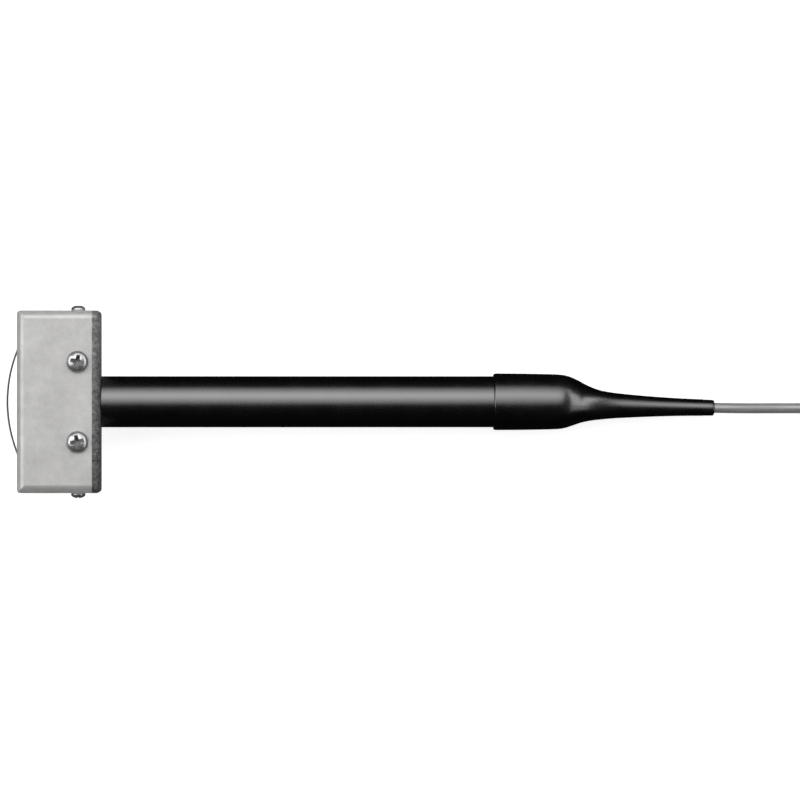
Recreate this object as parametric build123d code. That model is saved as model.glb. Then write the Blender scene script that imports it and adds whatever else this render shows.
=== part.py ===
from build123d import *
from math import asin, atan, cos, degrees, radians, sin, sqrt, tan
import os

# Hand-held surface temperature probe for rollers and other moving surfaces, in millimetres.
# A thin ribbon of two welded alloys bows out of a slot in a flat metal head. The head sits on
# a straight round handle, and the cable leaves the handle through a long soft boot.
#
# Probe frame: the origin is on the handle's axis at the rear face of the head. +X runs along
# the handle to the cable, +Y across the head along the ribbon, +Z out of its upper broad face.
# Left (-Y) and right (+Y) are as seen from the handle, looking towards the ribbon.
# Resting frame: the probe laid on a flat surface at z = 0, which it meets with its two lower
# face screws and the boot's collar. The cable and its plug lie on the same surface.

# Head
head_depth = 26.0
head_width = 57.0
head_height = 20.0
face_edge_radius = 2.6  # edges between the broad faces and the walls
rear_edge_radius = 2.3  # rear edges of the base's flange
outline_corner_radius = 1.2  # corners of the head's outline, seen on its broad face
cover_wall = 1.2
cover_inner_radius = 0.4  # smallest radius inside the cover
cover_clearance = 0.1  # between the cover and the base's block
flange_thickness = 2.6
block_depth = 8.6  # part of the base inside the cover
spigot_length = 12.0  # part of the base inside the handle
spigot_clearance = 0.05
lead_bore_diameter = 8.0

# Screws of the head
cover_screw_setback = 4.5  # from the flange to the screws through the cover
face_screw_spacing = 25.0
face_screw_thread = 4.0
face_screw_head = 7.0
face_screw_head_height = 2.6
face_screw_length = 6.0
end_screw_thread = 2.6
end_screw_head = 4.5
end_screw_head_height = 1.7
end_screw_length = 5.0
small_screw_thread = 2.0
small_screw_head = 3.5
small_screw_head_height = 1.3
clamp_screw_length = 4.0
yoke_screw_length = 6.0
yoke_screw_spacing = 18.0
screw_side_share = 0.3  # of the head's height, below its dome
screw_tip_share = 0.15  # of the thread's diameter, chamfered at its tip
cross_length_share = 0.58  # of the head's diameter, across the recess's arms
cross_width_share = 0.15
cross_floor_share = 0.35  # of the head's height, below the recess
thread_clearance = 0.05  # between a screw and its hole, on the radius
hole_tip_room = 0.5  # hole depth beyond the screw's tip

# Ribbon, the yoke that carries its ends and the clamps
ribbon_width = 10.0
ribbon_thickness = 0.2
ribbon_radius = 43.3  # middle of the ribbon's thickness
bow_height = 3.3  # apex in front of the cover
tab_gap = 5.0  # from the cover's inner end wall to where the straight tab starts
tab_length = 4.2
slot_corner_radius = 2.0
slot_side_gap = 1.0  # between the ribbon's edges and the slot
slot_end_gap = 2.8  # between the ribbon and the slot's ends
yoke_height = 13.0
yoke_floor = 2.0
yoke_end_gap = 0.3  # between the yoke and the cover's end walls
arm_inset = 1.5  # the arm's inner side, inwards of the tab's start
arm_relief = 0.5  # the arm's inner corner lies this far behind the ribbon
clamp_length = 3.8
clamp_thickness = 0.6

# Lead wires from the ribbon to the cable
lead_diameter = 0.9
lead_gap = 0.15  # between a lead and the yoke beside it
lead_height = 2.6  # one lead runs this far above the axis, the other as far below
lead_bore_offset = 0.8
lead_bend_radius = 2.5
lead_weld_gap = 0.05
core_offset = 0.6  # of a core from the cable's axis
core_spread_length = 10.0  # over which the leads close up towards the cable
core_straight_length = 4.0

# Handle
handle_diameter = 16.0
handle_bore = 13.0
handle_length = 143.0
handle_end_chamfer = 0.4

# Cable, and what holds it in the handle's end
cable_diameter = 3.2
cable_clearance = 0.05
bush_length = 14.0
ferrule_diameter = 5.2
ferrule_length = 6.0
ferrule_edge_radius = 0.5
ferrule_gap = 0.2  # between the ferrule and the bush
jacket_stub = 3.0  # jacket in front of the ferrule

# Boot: a collar over the handle's end, then a shoulder and a long tail
boot_overlap = 20.0  # of the boot over the handle
boot_end_gap = 0.2  # between the handle's end and the boot's inner step
boot_clearance = 0.05
collar_length = 20.7
collar_front_diameter = 17.7
collar_rear_diameter = 17.1
collar_edge_radius = 0.6
shoulder_length = 12.5
shoulder_diameters = [16.1, 14.3, 12.1, 10.4, 9.15]  # at even steps behind the collar
tail_diameters = [7.25, 6.1, 5.35, 4.95]  # at even steps behind the shoulder
# The tail turns aside and sags a little: distance behind the collar, sideways and height
boot_bend = (14.3, -1.1, -0.35)
boot_tip = (48.8, -1.9, -1.5)
boot_bend_radius = 40.0

# Cable beyond the boot, on the resting surface: distance behind the boot's tip, sideways from
# it, and height. It leaves the boot's tip straight, then sinks to the surface.
run_straight = 8.0
run_offsets = [
    (22.0, -0.1, cable_diameter / 2),
    (38.0, -0.2, cable_diameter / 2),
    (54.0, -0.1, cable_diameter / 2),
]
bend_share = 0.45  # of the shorter run beside a bend of the cable, taken up by the bend
# The put-away length is a flat coil, wound from the outermost turn inwards and back
coil_mean_radius = 17.5
coil_turns_across = 4
coil_layers = 2
coil_entry = 58.0  # from the boot's tip to where the cable meets the coil's outermost turn
coil_edge_radius = 1.5
tie_angle = 75.0
tie_width = 2.5
tie_thickness = 0.5
tie_lock_length = 4.0
tie_lock_width = 4.5
tie_lock_height = 2.4
tie_clearance = 0.02

# Plug: a flat two-part shell with two round pins
plug_width = 25.4
plug_neck_width = 13.0
plug_length = 35.5
plug_thickness = 12.7
plug_shoulder = 11.0  # from the entry face to the full width
plug_corner_radius = 2.0
plug_edge_radius = 1.0
plug_wall = 1.75
plug_entry_wall = 4.0
plug_front_wall = 5.5
pin_pitch = 11.1
positive_pin_diameter = 3.96
negative_pin_diameter = 4.75
pin_length = 15.2
pin_tip_radius = 1.0
pin_shoulder = 0.4  # the pin's shank in the front wall is this much thicker all round
pin_clearance = 0.05
pin_collar_overhang = 1.1
pin_collar_thickness = 1.5
terminal_length = 7.0
terminal_width = 5.0
terminal_top = 1.2
terminal_bottom = -2.8
terminal_screw_setback = 3.5  # from the terminal's rear face
terminal_screw_length = 3.2
plug_screw_thread = 3.0
plug_screw_head = 5.5
plug_screw_head_height = 2.0
plug_screw_length = 7.5
plug_screw_spacing = 15.4
plug_screw_distance = 12.5  # from the entry face
plug_boss_radius = 3.8
counterbore_depth = 2.2
counterbore_clearance = 0.3
grommet_neck_diameter = 6.0
grommet_flange_diameter = 8.5
grommet_flange_thickness = 1.5
grommet_nose_length = 9.0
grommet_nose_diameter = 5.2
grommet_shoulder_diameter = 7.4
grommet_clearance = 0.05
cable_in_plug = 8.5  # jacket's end, behind the entry face
plug_distance = 92.5  # from the boot's tip to the plug's entry face
end_straight = 6.0  # of cable into the grommet
end_offsets = [
    (63.0, -0.1, 1.5 * cable_diameter),
    (70.0, 0.0, 1.6 * cable_diameter),
]

# Places worked out from the sizes
cover_half_width = head_width / 2 - cover_wall
cover_half_height = head_height / 2 - cover_wall
block_front_x = -flange_thickness - block_depth
cover_screw_x = -flange_thickness - cover_screw_setback
yoke_top_x = block_front_x - yoke_floor
ribbon_centre_x = ribbon_radius - head_depth - bow_height
ribbon_inner = ribbon_radius - ribbon_thickness / 2
ribbon_outer = ribbon_radius + ribbon_thickness / 2
tab_angle = asin((cover_half_width - tab_gap) / ribbon_radius)
boot_front_x = handle_length - boot_overlap
collar_end_x = boot_front_x + collar_length
ferrule_rear_x = handle_length - bush_length - ferrule_gap
ferrule_front_x = ferrule_rear_x - ferrule_length
cable_front_x = ferrule_front_x - jacket_stub


# Helpers

def bend_radii(points):
    """The radius of each bend of a cord's route, as large as its two runs allow."""
    radii = []
    for before, corner, after in zip(points, points[1:], points[2:]):
        run_in = Vector(corner) - Vector(before)
        run_out = Vector(after) - Vector(corner)
        half_turn = radians(run_in.get_angle(run_out)) / 2
        radii.append(bend_share * min(run_in.length, run_out.length) / tan(half_turn))
    return radii


def tube_along(route, diameter):
    """A round solid along a route, square to it at both ends."""
    return sweep(Plane(origin=route @ 0, z_dir=route % 0) * Circle(diameter / 2), path=route)


def rod_x(diameter, start_x, end_x):
    """A round rod on the X axis."""
    return extrude(Plane.YZ.offset(start_x) * Circle(diameter / 2), end_x - start_x)


def rounded_end_block(flat_x, round_x, end_radius):
    """The head's outline between two X places, square at flat_x and rounded at round_x."""
    return rounded_box(
        flat_x, round_x, head_width, head_height,
        face_edge_radius, end_radius, outline_corner_radius,
    )


def rounded_box(flat_x, round_x, width, height, long_radius, end_radius, corner_radius):
    """A box with its four long edges rounded, and the edges of its end at round_x.

    It is where three rounded prisms meet, one along each axis, so the corners of the outline
    can be sharper than the edges round the broad faces.
    """
    along = extrude(
        Plane.YZ.offset(flat_x) * RectangleRounded(width, height, long_radius), round_x - flat_x
    )
    depth = abs(round_x - flat_x)
    middle_x = (flat_x + round_x) / 2
    end = -1 if round_x > flat_x else 0
    side = Rectangle(depth, height)
    side = fillet(side.vertices().group_by(Axis.X)[end], end_radius)
    outline = Rectangle(depth, width)
    outline = fillet(outline.vertices().group_by(Axis.X)[end], corner_radius)
    across = extrude(Plane.XZ * Pos(middle_x, 0) * side, width, both=True)
    through = extrude(Plane.XY * Pos(middle_x, 0) * outline, height, both=True)
    return along & across & through


def pan_screw(thread, head, head_height, length):
    """A pan head screw with a cross recess, pointing down, its head's underside at z = 0."""
    side_height = screw_side_share * head_height
    tip_chamfer = screw_tip_share * thread
    profile = Polyline(
        (0, -length),
        (thread / 2 - tip_chamfer, -length),
        (thread / 2, tip_chamfer - length),
        (thread / 2, 0),
        (head / 2, 0),
        (head / 2, side_height),
    )
    dome = EllipticalCenterArc(
        (0, side_height), head / 2, head_height - side_height, start_angle=0, arc_size=90
    )
    outline = make_face(profile + dome + Line((0, head_height), (0, -length)))
    arm_length = cross_length_share * head
    arm_width = cross_width_share * head
    cross = Rectangle(arm_length, arm_width) + Rectangle(arm_width, arm_length)
    recess = extrude(Plane.XY.offset(cross_floor_share * head_height) * cross, head_height)
    return revolve(Plane.XZ * outline, Axis.Z) - recess


def screw_hole(thread, length):
    """The hole for such a screw, from above its head's underside down past its tip."""
    depth = length + hole_tip_room
    hole = extrude(Circle(thread / 2 + thread_clearance), depth + thread)
    return Pos(0, 0, -depth) * hole


# Where each screw sits: its plane's origin is under its head and its Z axis points out of it

def face_screw_places():
    """The face screws by name, the cross turned a little differently in each."""
    places = {}
    turns = {"top_left": 11, "top_right": -13, "bottom_left": 24, "bottom_right": 5}
    for name, turn in turns.items():
        out = 1 if name.startswith("top") else -1
        right = 1 if name.endswith("right") else -1
        places["face_screw_" + name] = Plane(
            origin=(cover_screw_x, right * face_screw_spacing / 2, out * head_height / 2),
            x_dir=(cos(radians(turn)), sin(radians(turn)), 0),
            z_dir=(0, 0, out),
        )
    return places


def end_screw_places():
    return {
        name: Plane(
            origin=(cover_screw_x, out * head_width / 2, 0), x_dir=(1, 0, 0), z_dir=(0, out, 0)
        )
        for name, out in (("end_screw_left", -1), ("end_screw_right", 1))
    }


def yoke_screw_places():
    return {
        name: Plane(
            origin=(yoke_top_x, side * yoke_screw_spacing / 2, 0),
            x_dir=(0, 1, 0),
            z_dir=(-1, 0, 0),
        )
        for name, side in (("yoke_screw_left", -1), ("yoke_screw_right", 1))
    }


def ribbon_point(radius, angle):
    """A point on the ribbon's arc in the XY plane, at an angle from the apex."""
    return Vector(ribbon_centre_x - radius * cos(angle), radius * sin(angle), 0)


def tab_plane(radius, distance):
    """On the right tab, out from the ribbon: x along the tab, z square to it and outwards."""
    along = Vector(sin(tab_angle), cos(tab_angle), 0)
    outwards = (-cos(tab_angle), sin(tab_angle), 0)
    return Plane(
        origin=ribbon_point(radius, tab_angle) + along * distance, x_dir=along, z_dir=outwards
    )


def mirrored(shape, left):
    return mirror(shape, about=Plane.XZ) if left else shape


# Head

def make_head_cover():
    outer = rounded_end_block(-flange_thickness, -head_depth, face_edge_radius)
    inner = rounded_box(
        -flange_thickness,
        cover_wall - head_depth,
        2 * cover_half_width,
        2 * cover_half_height,
        max(face_edge_radius - cover_wall, cover_inner_radius),
        max(face_edge_radius - cover_wall, cover_inner_radius),
        max(outline_corner_radius - cover_wall, cover_inner_radius),
    )
    # The ribbon passes the inside of the front wall at this distance from the middle
    from_centre = ribbon_centre_x + head_depth - cover_wall
    ribbon_pass_y = sqrt(ribbon_radius ** 2 - from_centre ** 2)
    slot = RectangleRounded(
        2 * (ribbon_pass_y + slot_end_gap), ribbon_width + 2 * slot_side_gap, slot_corner_radius
    )
    cover = outer - inner - extrude(Plane.YZ.offset(-head_depth) * slot, cover_wall, both=True)
    return cover - cover_screw_holes()


def cover_screw_holes():
    holes = [
        place * screw_hole(face_screw_thread, face_screw_length)
        for place in face_screw_places().values()
    ]
    holes += [
        place * screw_hole(end_screw_thread, end_screw_length)
        for place in end_screw_places().values()
    ]
    return holes


def make_head_base():
    flange = rounded_end_block(-flange_thickness, 0, rear_edge_radius)
    block = RectangleRounded(
        2 * (cover_half_width - cover_clearance),
        2 * (cover_half_height - cover_clearance),
        max(face_edge_radius - cover_wall, cover_inner_radius),
    )
    base = flange + extrude(Plane.YZ.offset(block_front_x) * block, block_depth)
    base += rod_x(handle_bore - 2 * spigot_clearance, -flange_thickness / 2, spigot_length)
    base -= rod_x(lead_bore_diameter, block_front_x - 1, spigot_length + 1)
    base -= cover_screw_holes()
    base -= [
        place * screw_hole(small_screw_thread, yoke_screw_length)
        for place in yoke_screw_places().values()
    ]
    return base


# Ribbon, yoke, clamps

def make_ribbon(left):
    """Half of the ribbon, from the weld at the apex to the end of its straight tab."""
    along = Vector(sin(tab_angle), cos(tab_angle), 0) * tab_length
    outer_start = ribbon_point(ribbon_outer, 0)
    outer_bend = ribbon_point(ribbon_outer, tab_angle)
    inner_start = ribbon_point(ribbon_inner, 0)
    inner_bend = ribbon_point(ribbon_inner, tab_angle)
    outline = (
        ThreePointArc(outer_start, ribbon_point(ribbon_outer, tab_angle / 2), outer_bend)
        + Polyline(outer_bend, outer_bend + along, inner_bend + along, inner_bend)
        + ThreePointArc(inner_bend, ribbon_point(ribbon_inner, tab_angle / 2), inner_start)
        + Line(inner_start, outer_start)
    )
    band = extrude(make_face(outline), ribbon_width / 2, both=True)
    return mirrored(band - clamp_screw_hole(), left)


def clamp_screw_place():
    return tab_plane(ribbon_outer + clamp_thickness, tab_length / 2)


def clamp_screw_hole():
    return clamp_screw_place() * screw_hole(small_screw_thread, clamp_screw_length)


def make_ribbon_clamp(left):
    plate = extrude(Rectangle(clamp_length, ribbon_width), clamp_thickness)
    plate = tab_plane(ribbon_outer, tab_length / 2) * plate
    return mirrored(plate - clamp_screw_hole(), left)


def make_clamp_screw(left):
    screw = pan_screw(
        small_screw_thread, small_screw_head, small_screw_head_height, clamp_screw_length
    )
    return mirrored(clamp_screw_place() * screw, left)


def arm_inner_y():
    return ribbon_point(ribbon_inner, tab_angle).Y - arm_inset


def make_ribbon_yoke():
    """An insulating moulding: a floor on the base's block and an arm under each ribbon tab."""
    end_y = cover_half_width - yoke_end_gap
    seat = ribbon_point(ribbon_inner, tab_angle)
    seat_end_x = seat.X + (end_y - seat.Y) * tan(tab_angle)
    arm = make_face(
        Polyline(
            (block_front_x, arm_inner_y()),
            (seat.X + arm_relief, arm_inner_y()),
            (seat.X, seat.Y),
            (seat_end_x, end_y),
            (block_front_x, end_y),
            close=True,
        )
    )
    arm = extrude(arm, yoke_height / 2, both=True) - clamp_screw_hole()
    floor = Pos((yoke_top_x + block_front_x) / 2, 0, 0) * Box(yoke_floor, 2 * end_y, yoke_height)
    floor -= rod_x(lead_bore_diameter, yoke_top_x - 1, block_front_x + 1)
    floor -= [
        place * screw_hole(small_screw_thread, yoke_screw_length)
        for place in yoke_screw_places().values()
    ]
    return floor + arm + mirrored(arm, True)


def make_lead(left):
    """A lead wire from the ribbon's back, down the yoke's arm and through the handle."""
    lead_y = arm_inner_y() - lead_gap - lead_diameter / 2
    nearest_y = lead_y + lead_diameter / 2
    ribbon_back_x = ribbon_centre_x - sqrt(ribbon_inner ** 2 - nearest_y ** 2)
    turn_x = yoke_top_x - lead_gap - lead_diameter / 2
    core_x = cable_front_x - core_straight_length
    height = -lead_height if left else lead_height
    route = FilletPolyline(
        (ribbon_back_x + lead_weld_gap, lead_y, height),
        (turn_x, lead_y, height),
        (turn_x, lead_bore_offset, height),
        (core_x - core_spread_length, lead_bore_offset, height),
        (core_x, core_offset, 0),
        (cable_front_x, core_offset, 0),
        radius=lead_bend_radius,
    )
    return mirrored(tube_along(route, lead_diameter), left)


# Handle and cable end

def make_handle_tube():
    outer = rod_x(handle_diameter, 0, handle_length)
    outer = chamfer(outer.edges().filter_by(GeomType.CIRCLE), handle_end_chamfer)
    return outer - rod_x(handle_bore, -1, handle_length + 1)


def cable_hole(start_x, end_x):
    return rod_x(cable_diameter + 2 * cable_clearance, start_x - 1, end_x + 1)


def make_cable_bush():
    start_x = handle_length - bush_length
    bush = rod_x(handle_bore - 2 * spigot_clearance, start_x, handle_length)
    return bush - cable_hole(start_x, handle_length)


def make_crimp_ferrule():
    ferrule = rod_x(ferrule_diameter, ferrule_front_x, ferrule_rear_x)
    ferrule = fillet(ferrule.edges().filter_by(GeomType.CIRCLE), ferrule_edge_radius)
    return ferrule - cable_hole(ferrule_front_x, ferrule_rear_x)


# Boot

def boot_point(offset):
    """A point behind the collar's end, in the probe frame."""
    return Vector(collar_end_x, 0, 0) + Vector(offset)


def cable_route_in_boot():
    """The cable's middle from inside the handle to the boot's tip."""
    return FilletPolyline(
        (cable_front_x, 0, 0),
        boot_point((0, 0, 0)),
        boot_point(boot_bend),
        boot_point(boot_tip),
        radius=boot_bend_radius,
    )


cable_in_boot = cable_route_in_boot()


def boot_section(route, distance, diameter):
    """A round section of the boot, square to the cable at a distance along its route."""
    place = Plane(
        origin=route.position_at(distance, position_mode=PositionMode.LENGTH),
        z_dir=route.tangent_at(distance, position_mode=PositionMode.LENGTH),
        x_dir=(0, 1, 0),
    )
    return place * Circle(diameter / 2)


def even_steps(start, end, diameters):
    """Each diameter with its distance, at even steps from start to end."""
    step = (end - start) / (len(diameters) - 1)
    return [(start + i * step, diameter) for i, diameter in enumerate(diameters)]


def make_boot():
    """A round rubber body whose sections follow the cable, hollow over the handle's end."""
    route = FilletPolyline(
        (boot_front_x, 0, 0),
        boot_point((0, 0, 0)),
        boot_point(boot_bend),
        boot_point(boot_tip),
        radius=boot_bend_radius,
    )
    # Sections about as far apart on the collar as on the shoulder keep the surface even
    collar_steps = round(collar_length / shoulder_length * len(shoulder_diameters))
    taper = (collar_front_diameter - collar_rear_diameter) / collar_steps
    collar = [collar_front_diameter - i * taper for i in range(collar_steps + 1)]
    shoulder_end = collar_length + shoulder_length
    front = even_steps(0, collar_length, collar)[:-1]
    front += even_steps(collar_length, shoulder_end, [collar_rear_diameter, *shoulder_diameters])
    rear = even_steps(shoulder_end, route.length, [shoulder_diameters[-1], *tail_diameters])
    front = loft([boot_section(route, *section) for section in front])
    front = fillet(front.edges().sort_by(Axis.X)[0], collar_edge_radius)
    boot = front + loft([boot_section(route, *section) for section in rear])
    socket = rod_x(
        handle_diameter + 2 * boot_clearance, boot_front_x - 1, handle_length + boot_end_gap
    )
    bore = tube_along(cable_in_boot, cable_diameter + 2 * cable_clearance)
    return boot - socket - bore


# Resting place: the probe tips back until the boot's collar meets the surface

screw_reach = head_height / 2 + face_screw_head_height
rest_drop = screw_reach - collar_rear_diameter / 2
rest_tilt = atan(rest_drop / (collar_end_x - cover_screw_x))
rest_lift = screw_reach * cos(rest_tilt) + cover_screw_x * sin(rest_tilt)
rest_middle_x = (boot_point(boot_tip).X - head_depth - bow_height) / 2 * cos(rest_tilt)
lay = Pos(-rest_middle_x, 0, rest_lift) * Rot(0, degrees(rest_tilt), 0)
tip_place = (lay * Location(cable_in_boot @ 1)).position
run_start = (lay * Location(cable_in_boot @ 1 + cable_in_boot % 1 * run_straight)).position


def behind_tip(distance, sideways, height):
    """A point on the resting surface's side of things, set out from the boot's tip."""
    return Vector(tip_place.X + distance, tip_place.Y + sideways, height)


# Cable beyond the boot

coil_width = coil_turns_across * cable_diameter
coil_height = coil_layers * cable_diameter
coil_outer_turn = coil_mean_radius + (coil_width - cable_diameter) / 2
coil_middle = behind_tip(coil_entry, run_offsets[-1][1] + coil_outer_turn, 0)


def coil_ring():
    section = RectangleRounded(coil_width, coil_height, coil_edge_radius)
    ring = revolve(Plane.XZ * Pos(coil_mean_radius, coil_height / 2) * section, Axis.Z)
    return Pos(coil_middle) * ring


def make_cable_tie():
    """A band round the coil's bundle, with its lock on top and under it the band's own depth."""
    angle = radians(tie_angle)
    outwards = Vector(cos(angle), sin(angle), 0)
    section = Plane(
        origin=coil_middle + outwards * coil_mean_radius + Vector(0, 0, coil_height / 2),
        x_dir=outwards,
        z_dir=(sin(angle), -cos(angle), 0),
    )
    inner_width = coil_width + 2 * tie_clearance
    band = Rectangle(inner_width + 2 * tie_thickness, coil_height + 2 * tie_thickness)
    band -= Rectangle(inner_width, coil_height)
    band = extrude(section * Pos(0, tie_thickness) * band, tie_width / 2, both=True)
    lock_base = coil_height / 2 + 2 * tie_thickness
    lock = Pos(0, lock_base + tie_lock_height / 2 - tie_thickness / 2) * Rectangle(
        tie_lock_length, tie_lock_height + tie_thickness
    )
    return band + extrude(section * lock, tie_lock_width / 2, both=True)


def make_cable_run():
    points = [tip_place, run_start, *(behind_tip(*offset) for offset in run_offsets)]
    radii = bend_radii(points)
    print("cable run bend radii", [round(radius, 1) for radius in radii])
    return tube_along(FilletPolyline(*points, radius=radii), cable_diameter) - coil_ring()


def make_cable_end():
    points = [behind_tip(*offset) for offset in end_offsets]
    points += [plug_point(-grommet_nose_length - end_straight), plug_point(-grommet_nose_length)]
    radii = bend_radii(points)
    print("cable end bend radii", [round(radius, 1) for radius in radii])
    return tube_along(FilletPolyline(*points, radius=radii), cable_diameter) - coil_ring()


# Plug, in its own frame: x from the entry face to the pins, z = 0 on the joint of its shells

plug_place = Location(behind_tip(plug_distance, end_offsets[0][1], plug_thickness / 2))


def plug_point(distance):
    return (plug_place * Location((distance, 0, 0))).position


def plug_screw_places():
    """The two cover screws, in counterbores in the plug's upper face."""
    seat_z = plug_thickness / 2 - counterbore_depth
    return {
        name: Location((plug_screw_distance, side * plug_screw_spacing / 2, seat_z))
        for name, side in (("plug_screw_left", -1), ("plug_screw_right", 1))
    }


def pin_sizes():
    return {
        "positive": (positive_pin_diameter, pin_pitch / 2),
        "negative": (negative_pin_diameter, -pin_pitch / 2),
    }


def make_plug_body():
    """Both shells of the plug in one, hollow, with its screw bosses and holes."""
    half, neck = plug_width / 2, plug_neck_width / 2
    points = [(0, -neck), (plug_shoulder, -half), (plug_length, -half)]
    points += [(x, -y) for x, y in reversed(points)]
    outline = make_face(Polyline(*points, close=True))
    outline = fillet(outline.vertices(), plug_corner_radius)
    body = extrude(outline, plug_thickness / 2, both=True)
    edges = body.edges().group_by(Axis.Z)
    body = fillet(edges[0] + edges[-1], plug_edge_radius)
    inside_height = plug_thickness - 2 * plug_wall
    inside = extrude(offset(outline, -plug_wall), inside_height / 2, both=True)
    inside_length = plug_length - plug_entry_wall - plug_front_wall
    inside &= Pos(plug_entry_wall + inside_length / 2, 0, 0) * Box(
        inside_length, plug_width, inside_height
    )
    for place in plug_screw_places().values():
        boss = extrude(Circle(plug_boss_radius), inside_height / 2, both=True)
        inside -= Pos(place.position.X, place.position.Y, 0) * boss
    body -= inside
    for place in plug_screw_places().values():
        head_room = Circle(plug_screw_head / 2 + counterbore_clearance)
        body -= place * extrude(head_room, 2 * counterbore_depth)
        body -= place * screw_hole(plug_screw_thread, plug_screw_length)
    for diameter, side in pin_sizes().values():
        hole_diameter = diameter + 2 * pin_shoulder + 2 * pin_clearance
        hole = rod_x(hole_diameter, plug_length - plug_front_wall - 1, plug_length + 1)
        body -= Pos(0, side, 0) * hole
    return body - rod_x(grommet_neck_diameter + 2 * grommet_clearance, -1, plug_entry_wall + 1)


def make_pin(diameter, side):
    """A round pin, its shank in the front wall, a collar behind it and a screw terminal inside."""
    wall_x = plug_length - plug_front_wall
    pin = rod_x(diameter, wall_x, plug_length + pin_length)
    tip = pin.edges().filter_by(GeomType.CIRCLE).sort_by(Axis.X)[-1]
    pin = fillet(tip, pin_tip_radius)
    pin += rod_x(diameter + 2 * pin_shoulder, wall_x, plug_length)
    pin += rod_x(diameter + 2 * pin_collar_overhang, wall_x - pin_collar_thickness, wall_x)
    pin += Pos(
        terminal_rear_x() + terminal_length / 2, 0, (terminal_top + terminal_bottom) / 2
    ) * Box(terminal_length, terminal_width, terminal_top - terminal_bottom)
    pin -= terminal_screw_place() * screw_hole(end_screw_thread, terminal_screw_length)
    return Pos(0, side, 0) * pin


def terminal_rear_x():
    return plug_length - plug_front_wall - pin_collar_thickness - terminal_length


def terminal_screw_place():
    return Location((terminal_rear_x() + terminal_screw_setback, 0, terminal_top))


def make_plug_grommet():
    """A soft bush: a tapered nose outside the shells, a neck in the entry wall and a flange."""
    bore = cable_diameter / 2 + cable_clearance
    profile = Polyline(
        (-grommet_nose_length, bore),
        (-grommet_nose_length, grommet_nose_diameter / 2),
        (0, grommet_shoulder_diameter / 2),
        (0, grommet_neck_diameter / 2),
        (plug_entry_wall, grommet_neck_diameter / 2),
        (plug_entry_wall, grommet_flange_diameter / 2),
        (plug_entry_wall + grommet_flange_thickness, grommet_flange_diameter / 2),
        (plug_entry_wall + grommet_flange_thickness, bore),
        close=True,
    )
    return revolve(Plane.XY * make_face(profile), Axis.X)


def make_plug_core(side):
    """A core of the cable inside the plug, from the jacket's end to a terminal."""
    terminal_x = terminal_rear_x()
    route = FilletPolyline(
        (cable_in_plug, side * core_offset, 0),
        (cable_in_plug + core_straight_length, side * core_offset, 0),
        (terminal_x - core_straight_length, side * pin_pitch / 2, 0),
        (terminal_x, side * pin_pitch / 2, 0),
        radius=lead_bend_radius,
    )
    return tube_along(route, lead_diameter)


# The pieces by name, in the probe frame, the plug's frame and the resting frame

face_screw = pan_screw(
    face_screw_thread, face_screw_head, face_screw_head_height, face_screw_length
)
end_screw = pan_screw(end_screw_thread, end_screw_head, end_screw_head_height, end_screw_length)
yoke_screw = pan_screw(
    small_screw_thread, small_screw_head, small_screw_head_height, yoke_screw_length
)
terminal_screw = pan_screw(
    end_screw_thread, end_screw_head, end_screw_head_height, terminal_screw_length
)
plug_screw = pan_screw(
    plug_screw_thread, plug_screw_head, plug_screw_head_height, plug_screw_length
)

probe_parts = {
    "head_cover": make_head_cover(),
    "head_base": make_head_base(),
    "ribbon_yoke": make_ribbon_yoke(),
    "handle_tube": make_handle_tube(),
    "cable_bush": make_cable_bush(),
    "crimp_ferrule": make_crimp_ferrule(),
    "cable_inside": tube_along(cable_in_boot, cable_diameter),
    "boot": make_boot(),
}
probe_parts |= {name: place * face_screw for name, place in face_screw_places().items()}
probe_parts |= {name: place * end_screw for name, place in end_screw_places().items()}
probe_parts |= {name: place * yoke_screw for name, place in yoke_screw_places().items()}
for side_name, left in (("left", True), ("right", False)):
    probe_parts["ribbon_" + side_name] = make_ribbon(left)
    probe_parts["ribbon_clamp_" + side_name] = make_ribbon_clamp(left)
    probe_parts["clamp_screw_" + side_name] = make_clamp_screw(left)
    probe_parts["lead_" + side_name] = make_lead(left)

plug_body = make_plug_body()
plug_parts = {
    "plug_lower": split(plug_body, bisect_by=Plane.XY, keep=Keep.BOTTOM),
    "plug_cover": split(plug_body, bisect_by=Plane.XY, keep=Keep.TOP),
    "plug_grommet": make_plug_grommet(),
    "cable_in_plug": rod_x(cable_diameter, -grommet_nose_length, cable_in_plug),
}
plug_parts |= {name: place * plug_screw for name, place in plug_screw_places().items()}
for pole, (diameter, side) in pin_sizes().items():
    plug_parts["plug_pin_" + pole] = make_pin(diameter, side)
    plug_parts["terminal_screw_" + pole] = Pos(0, side, 0) * terminal_screw_place() * terminal_screw
    plug_parts["plug_core_" + pole] = make_plug_core(1 if side > 0 else -1)

cable_tie = make_cable_tie()
parts = {name: lay * part for name, part in probe_parts.items()}
parts |= {name: plug_place * part for name, part in plug_parts.items()}
parts |= {
    "cable_run": make_cable_run(),
    "cable_coil": coil_ring() - cable_tie,
    "cable_end": make_cable_end(),
    "cable_tie": cable_tie,
}

os.makedirs("parts", exist_ok=True)
for name, part in parts.items():
    export_step(part, f"parts/{name}.step")

print("tip of the boot", tip_place, "tilt", round(degrees(rest_tilt), 3))
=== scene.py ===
"""The looks of a hand-held surface temperature probe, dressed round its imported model, in metres."""
from math import atan, cos, hypot, pi, radians, sin, sqrt, tan

import bmesh
import bpy
from mathutils import Matrix, Vector


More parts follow.
